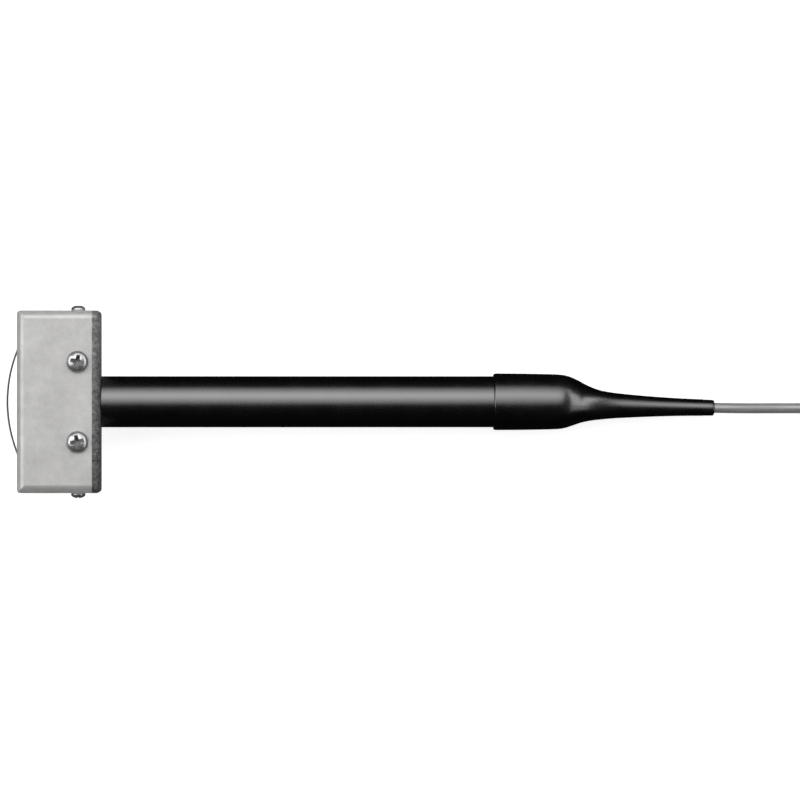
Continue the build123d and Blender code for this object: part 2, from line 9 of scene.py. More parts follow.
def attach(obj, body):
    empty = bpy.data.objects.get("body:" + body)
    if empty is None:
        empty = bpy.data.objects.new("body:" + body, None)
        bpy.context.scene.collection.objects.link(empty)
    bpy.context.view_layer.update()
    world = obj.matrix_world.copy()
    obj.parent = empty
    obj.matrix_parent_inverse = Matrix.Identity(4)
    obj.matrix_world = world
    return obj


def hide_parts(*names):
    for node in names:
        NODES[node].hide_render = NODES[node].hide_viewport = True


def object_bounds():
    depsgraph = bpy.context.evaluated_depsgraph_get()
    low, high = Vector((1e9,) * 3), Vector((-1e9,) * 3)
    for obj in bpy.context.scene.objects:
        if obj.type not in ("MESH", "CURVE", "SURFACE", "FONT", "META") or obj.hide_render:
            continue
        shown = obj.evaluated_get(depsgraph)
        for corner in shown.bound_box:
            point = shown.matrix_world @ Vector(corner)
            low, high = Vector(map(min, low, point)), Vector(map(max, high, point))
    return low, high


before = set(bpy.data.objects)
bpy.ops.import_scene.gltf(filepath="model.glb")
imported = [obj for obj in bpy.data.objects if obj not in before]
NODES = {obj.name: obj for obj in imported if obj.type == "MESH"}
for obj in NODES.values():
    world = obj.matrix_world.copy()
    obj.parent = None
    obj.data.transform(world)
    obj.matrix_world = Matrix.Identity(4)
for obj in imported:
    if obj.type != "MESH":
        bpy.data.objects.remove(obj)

CAD_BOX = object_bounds()
MM = 0.001

# The probe's own frame: x along the handle from the head's rear face, z out of the upper broad
# face. At rest it tips back until the boot's collar meets the floor.
HEAD_WIDTH = 57.0 * MM
HEAD_HEIGHT = 20.0 * MM
FACE_SCREW = dict(thread=4.0 * MM, head=7.0 * MM, head_height=2.6 * MM, length=6.0 * MM)
END_SCREW = dict(thread=2.6 * MM, head=4.5 * MM, head_height=1.7 * MM, length=5.0 * MM)
FACE_SCREW_SPACING = 25.0 * MM
SCREW_X = -7.1 * MM  # of the head's screws
SCREW_REACH = HEAD_HEIGHT / 2 + FACE_SCREW["head_height"]  # from the axis to a face screw's crown
COLLAR_END_X = 143.7 * MM
COLLAR_END_RADIUS = 8.55 * MM
MIDDLE_X = 81.6 * MM  # halfway from the ribbon's apex to the boot's tip
TILT = atan((SCREW_REACH - COLLAR_END_RADIUS) / (COLLAR_END_X - SCREW_X))
LIFT = SCREW_REACH * cos(TILT) + SCREW_X * sin(TILT)
PROBE = Matrix.Translation((-MIDDLE_X * cos(TILT), 0, LIFT)) @ Matrix.Rotation(TILT, 4, "Y")


# Camera: straight above, as the photograph, and far enough for its weak perspective

CAMERA_X = 12.1 * MM
CAMERA_Y = 0.56 * MM
CAMERA_DISTANCE = 1.7
AXIS_HEIGHT = 9.9 * MM  # of the handle's axis under the camera
PICTURE_WIDTH = 251.0 * MM  # what the picture's width shows at that height
SENSOR_WIDTH = 36.0

camera_data = bpy.data.cameras.new("camera")
camera_data.sensor_width = SENSOR_WIDTH
camera_data.lens = SENSOR_WIDTH * CAMERA_DISTANCE / PICTURE_WIDTH
camera_data.clip_end = 20
camera = bpy.data.objects.new("camera", camera_data)
camera.location = (CAMERA_X, CAMERA_Y, AXIS_HEIGHT + CAMERA_DISTANCE)
bpy.context.scene.collection.objects.link(camera)
bpy.context.scene.camera = camera


# Materials

class Look:
    """A material and its nodes. The keyword arguments are constants of its surface shader."""

    def __init__(self, name, **constants):
        self.material = bpy.data.materials.new(name)
        self.material.use_nodes = True
        self.tree = self.material.node_tree
        self.shader = self.tree.nodes["Principled BSDF"]
        self.place = self.tree.nodes.new("ShaderNodeTexCoord").outputs["Object"]
        for socket, value in constants.items():
            self.shader.inputs[socket.replace("_", " ")].default_value = value

    def node(self, kind, inputs=(), **settings):
        """A new node. An input is a value or the output that it is joined to."""
        made = self.tree.nodes.new("ShaderNode" + kind)
        for key, value in settings.items():
            setattr(made, key, value)
        for socket, value in dict(inputs).items():
            if isinstance(value, bpy.types.NodeSocket):
                self.tree.links.new(value, made.inputs[socket])
            else:
                made.inputs[socket].default_value = value
        return made

    def stretched(self, stretch, turned=(0, 0, 0)):
        """The place on the object, stretched so that grain runs along an axis."""
        mapping = self.node("Mapping", {"Vector": self.place, "Rotation": turned, "Scale": stretch})
        return mapping.outputs["Vector"]

    def noise(self, size, detail=3.0, roughness=0.55, place=None):
        """Noise from 0 to 1 whose features are about one size."""
        inputs = {
            "Vector": self.place if place is None else place,
            "Scale": 1 / size,
            "Detail": detail,
            "Roughness": roughness,
        }
        return self.node("TexNoise", inputs).outputs["Fac"]

    def spread(self, value, low, high, start=0.3, end=0.7):
        """A value from start to end becomes one from low to high."""
        inputs = {"Value": value, "From Min": start, "From Max": end, "To Min": low, "To Max": high}
        return self.node("MapRange", inputs).outputs["Result"]

    def math(self, operation, first, second=0.0):
        return self.node("Math", {0: first, 1: second}, operation=operation).outputs["Value"]

    def shades(self, value, *stops):
        """Greys or colours at stops from 0 to 1."""
        ramp = self.node("ValToRGB", {"Fac": value})
        elements = ramp.color_ramp.elements
        while len(elements) < len(stops):
            elements.new(0.5)
        for element, (position, colour) in zip(elements, stops):
            element.position = position
            grey = isinstance(colour, (int, float))
            element.color = (colour,) * 3 + (1,) if grey else (*colour, 1)
        return ramp.outputs["Color"]

    def mix(self, factor, first, second, blend="MIX"):
        made = self.node("Mix", data_type="RGBA", blend_type=blend)
        for socket, value in ((0, factor), (6, first), (7, second)):
            if isinstance(value, bpy.types.NodeSocket):
                self.tree.links.new(value, made.inputs[socket])
            else:
                made.inputs[socket].default_value = value
        return made.outputs[2]

    def bump(self, height, depth, normal=None, strength=1.0):
        """Relief whose full height is depth."""
        inputs = {"Height": height, "Distance": depth, "Strength": strength}
        if normal is not None:
            inputs["Normal"] = normal
        return self.node("Bump", inputs).outputs["Normal"]

    def scratches(self, turned, rarity):
        """Thin straight marks in one direction, 1 on a mark and 0 beside it."""
        place = self.stretched((0.05, 1, 1), turned)
        fine = self.noise(0.5 * MM, 1, 0.4, place)
        patch = self.noise(6 * MM, 2)
        return self.math("MULTIPLY", self.spread(fine, 0.0, 1.0, rarity, rarity + 0.03),
                         self.spread(patch, 0.0, 1.0, 0.45, 0.6))

    def surface(self, **sockets):
        """Joins outputs to the surface shader's inputs."""
        for socket, value in sockets.items():
            self.tree.links.new(value, self.shader.inputs[socket.replace("_", " ")])
        return self.material


CAST_SEAM = 18.4 * MM  # of the casting's seam from the axis


def satin_nickel():
    look = Look("satin_nickel", Metallic=0.4)
    cloud = look.noise(7 * MM, 5, 0.6)
    stain = look.noise(2.2 * MM, 4, 0.6)
    speck = look.noise(0.35 * MM, 2)
    tone = look.math("ADD", look.math("MULTIPLY", cloud, 0.55), look.math("MULTIPLY", stain, 0.45))
    tone = look.math("ADD", tone, look.spread(speck, -0.04, 0.04))
    one_way = look.scratches((0.5, 0.3, 1.1), 0.74)
    marks = look.math("ADD", one_way, look.scratches((0.2, 0.9, 2.3), 0.76))
    grain = look.noise(0.14 * MM, 2)
    peel = look.noise(1.4 * MM, 3)
    relief = look.bump(peel, 7e-6, look.bump(grain, 3e-6))
    relief = look.bump(marks, 8e-6, relief)
    colour = look.shades(tone, (0.3, (0.60, 0.595, 0.585)), (0.7, (0.78, 0.775, 0.765)))
    return look.surface(
        Base_Color=look.mix(look.math("MULTIPLY", marks, 0.35), colour, (0.92, 0.915, 0.90, 1)),
        Roughness=look.spread(tone, 0.46, 0.38),
        Normal=relief,
    )


def cast_metal():
    """A rough casting with a fine seam across it, darkened towards its left end by painted shade."""
    look = Look("cast_metal", Metallic=0.5)
    blotch = look.noise(1.3 * MM, 5, 0.7)
    pit = look.noise(0.35 * MM, 3, 0.6)
    tone = look.math("ADD", look.math("MULTIPLY", blotch, 0.6), look.math("MULTIPLY", pit, 0.4))
    along = look.node("SeparateXYZ", {"Vector": look.place}).outputs["Y"]
    # Painted shade: the colour falls to half towards the low-Y end, the side away from the upper
    # lights.
    painted_shade = look.spread(along, 0.5, 1.0, -26 * MM, 28 * MM)
    off_seam = look.math("ABSOLUTE", look.math("ADD", along, CAST_SEAM))
    seam = look.spread(off_seam, 1.0, 0.0, 0.08 * MM, 0.2 * MM)
    colour = look.shades(tone, (0.34, 0.09), (0.5, 0.27), (0.66, 0.62))
    colour = look.mix(1.0, colour, look.shades(painted_shade, (0.0, 0.0), (1.0, 1.0)), "MULTIPLY")
    relief = look.bump(pit, 30e-6, look.bump(blotch, 80e-6))
    return look.surface(
        Base_Color=look.mix(look.math("MULTIPLY", seam, 0.8), colour, (0.02, 0.02, 0.02, 1)),
        Roughness=look.spread(blotch, 0.66, 0.5),
        Normal=look.bump(seam, -60e-6, relief),
    )


def bright_screw(name, low, high, roughness):
    look = Look(name, Metallic=0.85)
    stain = look.noise(1.2 * MM, 4)
    turning = look.noise(0.12 * MM, 2)
    return look.surface(
        Base_Color=look.shades(stain, (0.3, low), (0.7, high)),
        Roughness=look.spread(stain, roughness + 0.08, roughness),
        Normal=look.bump(turning, 2e-6),
    )


def ribbon_alloy(name, low, high):
    look = Look(name, Metallic=0.5, Anisotropic=0.4)
    rolled = look.noise(0.25 * MM, 3, place=look.stretched((1, 0.04, 1)))
    heat = look.noise(4 * MM, 2)
    tone = look.math("ADD", rolled, look.spread(heat, -0.1, 0.1))
    return look.surface(
        Base_Color=look.shades(tone, (0.3, low), (0.7, high)),
        Roughness=look.spread(rolled, 0.34, 0.22),
        Normal=look.bump(rolled, 1.5e-6),
    )


def handle_black():
    look = Look("handle_black", Metallic=1.0)
    drawn = look.noise(0.3 * MM, 3, place=look.stretched((0.02, 1, 1)))
    cloud = look.noise(9 * MM, 4)
    grain = look.noise(0.16 * MM, 2)
    return look.surface(
        Base_Color=look.shades(cloud, (0.3, 0.175), (0.7, 0.19)),
        Roughness=look.spread(look.math("ADD", cloud, look.spread(drawn, -0.15, 0.15)), 0.24, 0.28),
        Normal=look.bump(grain, 0.4e-6, look.bump(drawn, 0.4e-6)),
    )


def boot_rubber():
    look = Look("boot_rubber", Metallic=1.0)
    cloud = look.noise(6 * MM, 4)
    skin = look.noise(0.22 * MM, 3)
    wave = look.noise(2.5 * MM, 2)
    return look.surface(
        Base_Color=look.shades(cloud, (0.3, 0.16), (0.7, 0.18)),
        Roughness=look.spread(cloud, 0.24, 0.30),
        Normal=look.bump(skin, 1e-6, look.bump(wave, 4e-6)),
    )


def plastic(name, low, high, roughness, grain_size=0.25 * MM, grain_depth=5e-6, metallic=0.0):
    look = Look(name, IOR=1.48, Metallic=metallic)
    cloud = look.noise(5 * MM, 4)
    grain = look.noise(grain_size, 3)
    tone = look.math("ADD", cloud, look.spread(grain, -0.08, 0.08))
    return look.surface(
        Base_Color=look.shades(tone, (0.3, low), (0.7, high)),
        Roughness=look.spread(cloud, roughness - 0.04, roughness + 0.05),
        Normal=look.bump(grain, grain_depth),
    )


NICKEL = satin_nickel()
CAST = cast_metal()
SCREW = bright_screw("bright_screw", 0.58, 0.76, 0.26)
# A darker copy of the screw's metal for the cross recess: painted shade in the hollow.
SHADED_RECESS = bright_screw("screw_recess_painted_shade", 0.12, 0.26, 0.4)
PIN = bright_screw("pin_alloy", (0.50, 0.49, 0.46), (0.66, 0.64, 0.60), 0.26)
FERRULE = bright_screw("ferrule_metal", (0.55, 0.42, 0.20), (0.70, 0.56, 0.30), 0.3)
RIBBON_RIGHT = ribbon_alloy("ribbon_alloy_right", (0.55, 0.54, 0.51), (0.68, 0.67, 0.64))
RIBBON_LEFT = ribbon_alloy("ribbon_alloy_left", (0.50, 0.50, 0.50), (0.62, 0.62, 0.62))
HANDLE = handle_black()
RUBBER = boot_rubber()
CABLE = plastic(
    "cable_jacket", (0.50, 0.50, 0.505), (0.57, 0.57, 0.575), 0.42, 0.2 * MM, 3e-6, metallic=0.55
)
YOKE = plastic("yoke_plastic", (0.55, 0.50, 0.40), (0.66, 0.61, 0.50), 0.5)
SHELL = plastic("plug_plastic", 0.012, 0.022, 0.46, 0.3 * MM, 14e-6)
RED = plastic("core_red", (0.40, 0.03, 0.02), (0.50, 0.05, 0.03), 0.4)
WHITE = plastic("core_white", 0.60, 0.70, 0.4)
NYLON = plastic("tie_nylon", (0.60, 0.60, 0.57), (0.72, 0.72, 0.69), 0.38, 0.5 * MM, 4e-6)


# Mesh helpers

ROUND_SEGMENTS = 128  # round the handle and the boot


def piece(name, vertices, faces, materials, replaced, smooth_angle=40, face_materials=None):
    """A mesh object that rides on the probe and stands for nodes of the model."""
    mesh = bpy.data.meshes.new(name)
    mesh.from_pydata([tuple(v) for v in vertices], [], faces)
    for material in materials:
        mesh.materials.append(material)
    if face_materials:
        mesh.polygons.foreach_set("material_index", face_materials)
    made = bpy.data.objects.new(name, mesh)
    bpy.context.scene.collection.objects.link(made)
    mesh.validate()
    shade(made, smooth_angle)
    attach(made, "root")
    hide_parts(*replaced)
    return made


def shade(made, angle):
    """Smooth shading, with edges sharper than the angle kept sharp."""
    bm = bmesh.new()
    bm.from_mesh(made.data)
    bmesh.ops.recalc_face_normals(bm, faces=bm.faces)
    for face in bm.faces:
        face.smooth = True
    limit = radians(angle)
    for edge in bm.edges:
        edge.smooth = edge.calc_face_angle(0) < limit
    bm.to_mesh(made.data)
    bm.free()


def ring_faces(rings, segments, closed_loop=False):
    """Quads between rings of points, one after the other."""
    faces = []
    for i in range(rings if closed_loop else rings - 1):
        first, second = i * segments, (i + 1) % rings * segments
        for j in range(segments):
            k = (j + 1) % segments
            faces.append((first + j, first + k, second + k, second + j))
    return faces


def turned(profile, segments, place):
    """Points and faces of a closed profile of (x, radius) turned about the X axis of a place."""
    points = [
        place @ Vector((x, r * cos(2 * pi * j / segments), r * sin(2 * pi * j / segments)))
        for x, r in profile
        for j in range(segments)
    ]
    return points, ring_faces(len(profile), segments, closed_loop=True)


def rounded(profile, radius, steps=4):
    """A closed profile of (x, radius, sharp) with its marked corners rounded."""
    points = []
    for i, (x, r, turns) in enumerate(profile):
        corner = Vector((x, r))
        if not turns:
            points.append(corner)
            continue
        before = (Vector(profile[i - 1][:2]) - corner).normalized()
        after = (Vector(profile[(i + 1) % len(profile)][:2]) - corner).normalized()
        for step in range(steps + 1):
            share = step / steps
            points.append(
                corner + before * radius * (1 - share) ** 2 + after * radius * share ** 2
            )
    return [tuple(p) for p in points]


# Handle

HANDLE_RADIUS = 8.0 * MM
HANDLE_BORE_RADIUS = 6.5 * MM
HANDLE_LENGTH = 143.0 * MM
HANDLE_EDGE = 0.4 * MM


def make_handle():
    profile = [
        (0, HANDLE_BORE_RADIUS, False),
        (0, HANDLE_RADIUS, True),
        (HANDLE_LENGTH, HANDLE_RADIUS, True),
        (HANDLE_LENGTH, HANDLE_BORE_RADIUS, False),
    ]
    points, faces = turned(rounded(profile, HANDLE_EDGE), ROUND_SEGMENTS, PROBE)
    return piece("handle", points, faces, [HANDLE], ["handle_tube"])


# Boot, in millimetres

BOOT_FRONT_X = 123.0
BOOT_LENGTH = 69.5
BOOT_BORE_RADIUS = 1.65
BOOT_BORE_EDGE = 0.15
BOOT_SOCKET_END = 20.2
BOOT_SOCKET_RADIUS = 8.05
BOOT_FRONT_EDGE = 0.5
BOOT_TIP_EDGE = 0.55
BOOT_SEAM = 0.05  # height of the mould's parting line along both sides
BOOT_EDGE_STEPS = 6
BOOT_SKIN_STEPS = 150
BOOT_BORE_STEPS = 23
# Distance behind the boot's front edge and diameter there
BOOT_DIAMETERS = [
    (0.0, 17.7), (8.0, 17.6), (14.5, 17.4), (19.5, 17.15), (21.4, 16.85), (23.2, 16.12),
    (25.7, 14.3), (28.2, 12.1), (30.7, 10.42), (33.2, 9.25), (37.5, 8.05), (42.3, 7.25),
    (51.3, 6.12), (60.4, 5.35), (69.5, 4.95),
]
# The cable's line in the boot: distance, sideways and height
BOOT_LINE = [(0.0, 0.0, 0.0), (20.7, 0.0, 0.0), (35.0, -1.1, -0.35), (69.5, -1.9, -1.5)]


def slope(points, i, k):
    """The slope at point i of a monotone curve through the points' values k."""
    runs = [
        (points[j + 1][k] - points[j][k]) / (points[j + 1][0] - points[j][0])
        for j in (i - 1, i)
        if 0 <= j < len(points) - 1
    ]
    if len(runs) == 1:
        return runs[0]
    before, after = runs
    return 2 * before * after / (before + after) if before * after > 0 else 0.0


def smooth_through(points, x):
    """A monotone curve through points of (x, value, ...), as a list of the values at x."""
    if x <= points[0][0]:
        return list(points[0][1:])
    i = next(j for j in range(len(points) - 1) if x <= points[j + 1][0])
    run = points[i + 1][0] - points[i][0]
    t = (x - points[i][0]) / run
    values = []
    for k in range(1, len(points[0])):
        values.append(
            points[i][k] * (1 + 2 * t) * (1 - t) ** 2
            + points[i + 1][k] * t * t * (3 - 2 * t)
            + run * slope(points, i, k) * t * (1 - t) ** 2
            - run * slope(points, i + 1, k) * t * t * (1 - t)
        )
    return values


def boot_outline():
    """The boot's closed outline as pairs of distance and radius, from the rim round and back."""
    outline = []
    collar_radius = BOOT_DIAMETERS[0][1] / 2
    for step in range(BOOT_EDGE_STEPS + 1):
        turn = pi / 2 * step / BOOT_EDGE_STEPS
        outline.append((
            BOOT_FRONT_EDGE * (1 - cos(turn)),
            collar_radius - BOOT_FRONT_EDGE * (1 - sin(turn)),
        ))
    skin = BOOT_LENGTH - BOOT_FRONT_EDGE - BOOT_TIP_EDGE
    for step in range(1, BOOT_SKIN_STEPS):
        distance = BOOT_FRONT_EDGE + skin * step / BOOT_SKIN_STEPS
        outline.append((distance, smooth_through(BOOT_DIAMETERS, distance)[0] / 2))
    tip_radius = BOOT_DIAMETERS[-1][1] / 2
    for step in range(BOOT_EDGE_STEPS + 1):
        turn = pi / 2 * step / BOOT_EDGE_STEPS
        outline.append((
            BOOT_LENGTH - BOOT_TIP_EDGE * (1 - sin(turn)),
            tip_radius - BOOT_TIP_EDGE * (1 - cos(turn)),
        ))
    # Bore and socket, back to the front
    outline.append((BOOT_LENGTH, BOOT_BORE_RADIUS + BOOT_BORE_EDGE))
    bore_start = BOOT_LENGTH - BOOT_BORE_EDGE
    for step in range(BOOT_BORE_STEPS + 1):
        share = step / BOOT_BORE_STEPS
        outline.append((bore_start + (BOOT_SOCKET_END - bore_start) * share, BOOT_BORE_RADIUS))
    outline += [(BOOT_SOCKET_END, BOOT_SOCKET_RADIUS), (0.0, BOOT_SOCKET_RADIUS)]
    return outline


def boot_axes(distance):
    """The middle of the boot's section at a distance, and its two directions across."""
    side, height = smooth_through(BOOT_LINE, distance)
    start, end = max(0.0, distance - 1), min(BOOT_LENGTH, distance + 1)
    before = smooth_through(BOOT_LINE, start)
    after = smooth_through(BOOT_LINE, end)
    along = Vector((end - start, after[0] - before[0], after[1] - before[1])).normalized()
    up = along.cross(Vector((0, 1, 0))).normalized()
    return Vector((BOOT_FRONT_X + distance, side, height)), up.cross(along), up


def make_boot():
    """A round rubber sleeve along the cable's line, its ends rolled over."""
    outline = boot_outline()
    points = []
    for i, (distance, radius) in enumerate(outline):
        middle, sideways, up = boot_axes(distance)
        on_skin = BOOT_EDGE_STEPS < i < BOOT_SKIN_STEPS
        for j in range(ROUND_SEGMENTS):
            turn = 2 * pi * j / ROUND_SEGMENTS
            seam = BOOT_SEAM if on_skin and j % (ROUND_SEGMENTS // 2) == 0 else 0.0
            point = middle + (sideways * cos(turn) + up * sin(turn)) * (radius + seam)
            points.append(PROBE @ (point * MM))
    faces = ring_faces(len(outline), ROUND_SEGMENTS, closed_loop=True)
    return piece("cable_boot", points, faces, [RUBBER], ["boot"])


# Screws with a cross recess

SCREW_SEGMENTS = 96
CROWN_RINGS = 44
RING_CROWDING = 0.9  # power that crowds the crown's rings towards its rim
# Shares of the head's height
SIDE_SHARE = 0.3  # below the dome
RECESS_SHARE = 0.62  # from the dome down to the recess's floor at its middle
LEAST_RECESS_SHARE = 0.1
RIM_SHARE = 0.06  # rounded under the head
RIM_INSET_SHARE = 0.04
# Shares of the head's diameter
ARM_REACH_SHARE = 0.29
ARM_HALF_WIDTH_SHARE = 0.075
RECESS_EDGE_SHARE = 0.022
# The recess: its arms taper outwards, its floor rises along them and its inner corners are cut
ARM_ROOT = 1.12
ARM_TAPER = 0.3
FLOOR_RISE = 0.55
CORNER_CUT = 2.35
DIAGONAL = 1.41
TIP_SHARE = 0.15  # of the thread's diameter, chamfered at the tip
RECESS_SHADE_SHARE = 0.85  # share of the recess's depth from which a face takes the darker copy of the screw's metal, painted shade


def screw_piece(name, node, place, thread, head, head_height, length, turn):
    """A pan head screw. The place has its origin under the head and Z out of it. The cross is
    turned by an angle in degrees."""
    radius = head / 2
    side_height = SIDE_SHARE * head_height
    arm_reach = ARM_REACH_SHARE * head
    arm_half_width = ARM_HALF_WIDTH_SHARE * head
    deepest = RECESS_SHARE * head_height
    edge = RECESS_EDGE_SHARE * head

    def crown(x, y):
        """The height of the head at a place, and how far the place is inside the recess."""
        r = hypot(x, y)
        dome = side_height + (head_height - side_height) * sqrt(max(0.0, 1 - (r / radius) ** 2))
        u, v = abs(x), abs(y)
        outside = min(
            max(v - arm_half_width * (ARM_ROOT - ARM_TAPER * u / arm_reach), u - arm_reach),
            max(u - arm_half_width * (ARM_ROOT - ARM_TAPER * v / arm_reach), v - arm_reach),
            (u + v - CORNER_CUT * arm_half_width) / DIAGONAL,
        )
        share = min(1.0, max(0.0, 0.5 - outside / (2 * edge)))
        share = share * share * (3 - 2 * share)
        depth = deepest * (1 - FLOOR_RISE * (r / arm_reach) ** 2)
        return dome - share * max(depth, LEAST_RECESS_SHARE * head_height), share

    points, shares = [], []
    for i in range(CROWN_RINGS):
        r = radius * ((i + 1) / CROWN_RINGS) ** RING_CROWDING
        for j in range(SCREW_SEGMENTS):
            a = 2 * pi * j / SCREW_SEGMENTS + radians(turn)
            height, share = crown(r * cos(a - radians(turn)), r * sin(a - radians(turn)))
            points.append((r * cos(a), r * sin(a), height))
            shares.append(share)
    # Down the head's side, under it, down the shank to its tip
    shank = thread / 2
    chamfer = TIP_SHARE * thread
    side = [
        (radius, RIM_SHARE * head_height),
        (radius - RIM_INSET_SHARE * head_height, 0.0),
        (shank, 0.0),
        (shank, chamfer - length),
        (shank - chamfer, -length),
    ]
    for r, z in side:
        for j in range(SCREW_SEGMENTS):
            a = 2 * pi * j / SCREW_SEGMENTS
            points.append((r * cos(a), r * sin(a), z))
    rings = CROWN_RINGS + len(side)
    faces = ring_faces(rings, SCREW_SEGMENTS)
    top, bottom = len(points), len(points) + 1
    middle_height, middle_share = crown(0, 0)
    points += [(0, 0, middle_height), (0, 0, -length)]
    faces += [(top, j, (j + 1) % SCREW_SEGMENTS) for j in range(SCREW_SEGMENTS)]
    last = (rings - 1) * SCREW_SEGMENTS
    faces += [(bottom, last + (j + 1) % SCREW_SEGMENTS, last + j) for j in range(SCREW_SEGMENTS)]
    shares += [0.0] * (top - len(shares)) + [middle_share, 0.0]
    # Faces deep in the recess get the darker metal as painted shade.
    recess_shade_slots = [1 if min(shares[v] for v in face) > RECESS_SHADE_SHARE else 0 for face in faces]
    placed = [place @ Vector(p) for p in points]
    return piece(
        name, placed, faces, [SCREW, SHADED_RECESS], [node],
        smooth_angle=50, face_materials=recess_shade_slots,
    )


def frame_at(origin, x_dir, z_dir):
    """The matrix of a place with its origin, x direction and z direction."""
    z_axis = Vector(z_dir).normalized()
    x_axis = Vector(x_dir).normalized()
    y_axis = z_axis.cross(x_axis)
    matrix = Matrix((x_axis, y_axis, z_axis)).transposed().to_4x4()
    matrix.translation = Vector(origin)
    return matrix


def make_head_screws():
    turns = {"top_left": 11, "top_right": -13, "bottom_left": 24, "bottom_right": 5}
    for where, turn in turns.items():
        out = 1 if where.startswith("top") else -1
        right = 1 if where.endswith("right") else -1
        origin = (SCREW_X, right * FACE_SCREW_SPACING / 2, out * HEAD_HEIGHT / 2)
        place = PROBE @ frame_at(origin, (1, 0, 0), (0, 0, out))
        screw_piece("screw_" + where, "face_screw_" + where, place, turn=turn, **FACE_SCREW)
    for where, out, turn in (("left", -1, 8), ("right", 1, 31)):
        origin = (SCREW_X, out * HEAD_WIDTH / 2, 0)
        place = PROBE @ frame_at(origin, (1, 0, 0), (0, out, 0))
        screw_piece("end_fixing_" + where, "end_screw_" + where, place, turn=turn, **END_SCREW)


# Cable: its route repeats the model's points, in millimetres, then the coil's turns

CABLE_DIAMETER = 3.2
BOOT_TIP = PROBE @ (Vector((BOOT_FRONT_X + BOOT_LENGTH, *BOOT_LINE[-1][1:])) * MM) / MM
TAIL_RUN = Vector([end - start for start, end in zip(BOOT_LINE[-2], BOOT_LINE[-1])])
CABLE_LEAVES = PROBE.to_3x3() @ TAIL_RUN.normalized()  # direction of the boot's tip
PLUG_MIDDLE = 6.35  # height over the floor
RUN_STRAIGHT = 8.0
# Distance behind the boot's tip, sideways from it, and height over the floor
RUN_OFFSETS = [
    (22.0, -0.1, CABLE_DIAMETER / 2),
    (38.0, -0.2, CABLE_DIAMETER / 2),
    (54.0, -0.1, CABLE_DIAMETER / 2),
]
END_OFFSETS = [
    (63.0, -0.1, CABLE_DIAMETER * 1.5),
    (70.0, 0.0, CABLE_DIAMETER * 1.6),
    (77.5, -0.1, PLUG_MIDDLE),
    (83.5, -0.1, PLUG_MIDDLE),
]
# The turns lie a diameter apart: the lower ones from the outside in, then back out on top of them
COIL_MEAN_RADIUS = 17.5
COIL_LOWER_TURNS = 4
LOWER_RADII = [
    COIL_MEAN_RADIUS + CABLE_DIAMETER * ((COIL_LOWER_TURNS - 1) / 2 - turn)
    for turn in range(COIL_LOWER_TURNS)
]
COIL_RADII = LOWER_RADII + LOWER_RADII[-2::-1]
COIL_ENTRY = (58.0, -0.1)  # where the cable meets the outermost turn, behind the tip and sideways
COIL_CENTRE = (BOOT_TIP.x + COIL_ENTRY[0], BOOT_TIP.y + COIL_ENTRY[1] + COIL_RADII[0])
POINTS_PER_TURN = 24
CONTROL_SHARE = 0.9915  # a turn's radius over that of its control points
TIE_ANGLE = 75.0
TIE_THICKNESS = 0.5
TIE_REACH = 34.0  # degrees each side over which the turns rise over the tie
TIE_LEVEL = (0.25, 1.0)  # shares of that reach between which they rise
INWARD = (290.0, 360.0)  # where the lower turns step inwards, from where the cable comes in
RISE = (225.0, 315.0)  # where the last lower turn climbs on to the upper layer
OUTWARD = (0.0, 70.0)  # where the upper turns step outwards


def eased(value, window):
    """0 before the window, 1 beyond it, and a soft step between."""
    share = min(1.0, max(0.0, (value - window[0]) / (window[1] - window[0])))
    return share * share * (3 - 2 * share)


def coil_points():
    """Control points of the coil's turns, wound inwards on the floor and outwards on top."""
    points = []
    turns = len(COIL_RADII)
    for i in range(turns * POINTS_PER_TURN + 1):
        turn = min(i // POINTS_PER_TURN, turns - 1)
        degrees_on = 360.0 * (i - turn * POINTS_PER_TURN) / POINTS_PER_TURN
        radius = COIL_RADII[turn]
        if turn < COIL_LOWER_TURNS - 1:
            radius += (COIL_RADII[turn + 1] - radius) * eased(degrees_on, INWARD)
        if turn >= COIL_LOWER_TURNS:
            inner = COIL_RADII[turn - 1]
            radius = inner + (radius - inner) * eased(degrees_on, OUTWARD)
        layer = 0.0 if turn < COIL_LOWER_TURNS else 1.0
        if turn == COIL_LOWER_TURNS - 1:
            layer = eased(degrees_on, RISE)
        angle = degrees_on - 90.0
        off_tie = abs((angle - TIE_ANGLE + 180) % 360 - 180) / TIE_REACH
        lift = TIE_THICKNESS * (1 - eased(off_tie, TIE_LEVEL))
        height = CABLE_DIAMETER * (0.5 + layer) + lift
        wide = radius / CONTROL_SHARE
        x = COIL_CENTRE[0] + wide * cos(radians(angle))
        y = COIL_CENTRE[1] + wide * sin(radians(angle))
        points.append((x, y, height))
    return points


def behind_tip(distance, sideways, height):
    return (BOOT_TIP.x + distance, BOOT_TIP.y + sideways, height)


def make_cable():
    data = bpy.data.curves.new("cable", "CURVE")
    data.dimensions = "3D"
    data.bevel_depth = CABLE_DIAMETER / 2 * MM
    data.bevel_resolution = 8
    data.resolution_u = 6
    data.use_fill_caps = True
    route = [BOOT_TIP, BOOT_TIP + CABLE_LEAVES * RUN_STRAIGHT]
    route += [behind_tip(*offset) for offset in RUN_OFFSETS]
    route += coil_points()
    route += [behind_tip(*offset) for offset in END_OFFSETS]
    line = data.splines.new("NURBS")
    line.points.add(len(route) - 1)
    for point, (x, y, z) in zip(line.points, route):
        point.co = (x * MM, y * MM, z * MM, 1)
    line.order_u = 3
    line.use_endpoint_u = True
    line.use_smooth = True
    data.materials.append(CABLE)
    cable = bpy.data.objects.new("cable", data)
    bpy.context.scene.collection.objects.link(cable)
    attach(cable, "root")
    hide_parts("cable_run", "cable_coil", "cable_end")
    return cable


# Materials of the CAD nodes that show as they are

